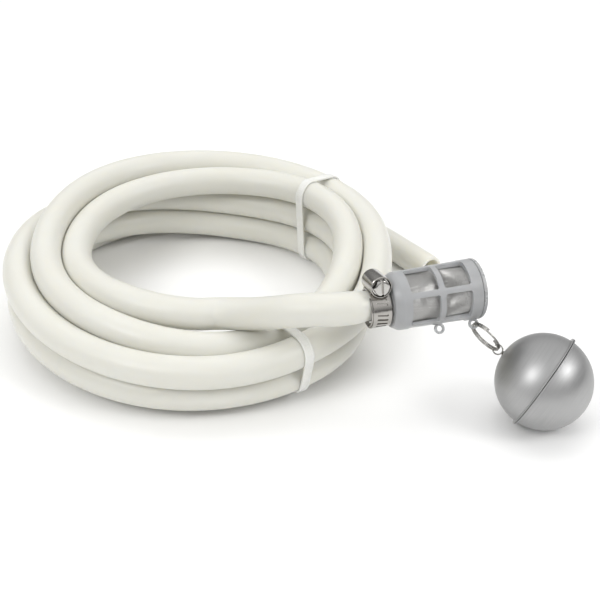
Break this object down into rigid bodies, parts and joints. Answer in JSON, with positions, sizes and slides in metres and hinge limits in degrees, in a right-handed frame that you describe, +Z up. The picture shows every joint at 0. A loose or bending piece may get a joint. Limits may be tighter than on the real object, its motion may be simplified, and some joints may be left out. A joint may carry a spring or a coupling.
{
  "type": "floating suction hose",
  "caption": "Coiled soft siphon hose with cable ties, a worm drive clamp, a caged gauze strainer on its inlet and a hollow ball float on a split ring.",
  "frame": {"origin": "on the floor, under the middle of the clamp, strainer and float taken together", "axes": "+Z up, the coil's axis is along +Z, the strainer points along +X and 16.7 degrees towards +Y, and the float lies on the -Y side"},
  "size_m": [0.2974, 0.2265, 0.0747],
  "materials": {
    "silicone_hose": "milky, translucent, satin",
    "nylon_tie": "natural, translucent, satin",
    "clamp_steel": "bright rolled strip",
    "screw_steel": "bright turned",
    "clear_plastic": "clear moulded, slightly hazy",
    "gauze_steel": "fine woven wire",
    "wire_steel": "bright drawn wire",
    "float_steel": "fine circular brushing"
  },
  "bodies": {
    "hose_and_strainer": {"hose_coil": "silicone_hose", "hose_lead": "silicone_hose", "hose_tail": "silicone_hose", "hose_inlet_end": "silicone_hose", "hose_outlet_end": "silicone_hose", "cable_tie_front": "nylon_tie", "cable_tie_rear": "nylon_tie", "clamp_band": "clamp_steel", "clamp_housing": "clamp_steel", "strainer_body": "clear_plastic", "strainer_gauze": "gauze_steel"},
    "screw": {"clamp_screw": "screw_steel"},
    "cap": {"strainer_cap": "clear_plastic"},
    "ring": {"split_ring": "wire_steel"},
    "float": {"float_eye": "wire_steel", "float_shell_upper": "float_steel", "float_shell_lower": "float_steel"}
  },
  "joints": [
    {"name": "screw_turn", "type": "hinge", "parent": "hose_and_strainer", "child": "screw", "pos_m": [-0.04589, 0.00626, 0.06817], "axis": [0.2821, -0.9402, 0.1908], "continuous": true},
    {"name": "cap_pull", "type": "slide", "parent": "hose_and_strainer", "child": "cap", "axis": [0.9578, 0.2874, 0], "range_m": [0, 0.008]},
    {"name": "ring_swing", "type": "hinge", "parent": "hose_and_strainer", "child": "ring", "pos_m": [0.00132, 0.00687, 0.04503], "axis": [0.2122, -0.7917, 0.5729], "range_deg": [-45, 20]},
    {"name": "float_swing", "type": "hinge", "parent": "ring", "child": "float", "pos_m": [0.01318, 0.00183, 0.03367], "axis": [0.2122, -0.7917, 0.5729], "range_deg": [-40, 30]}
  ]
}
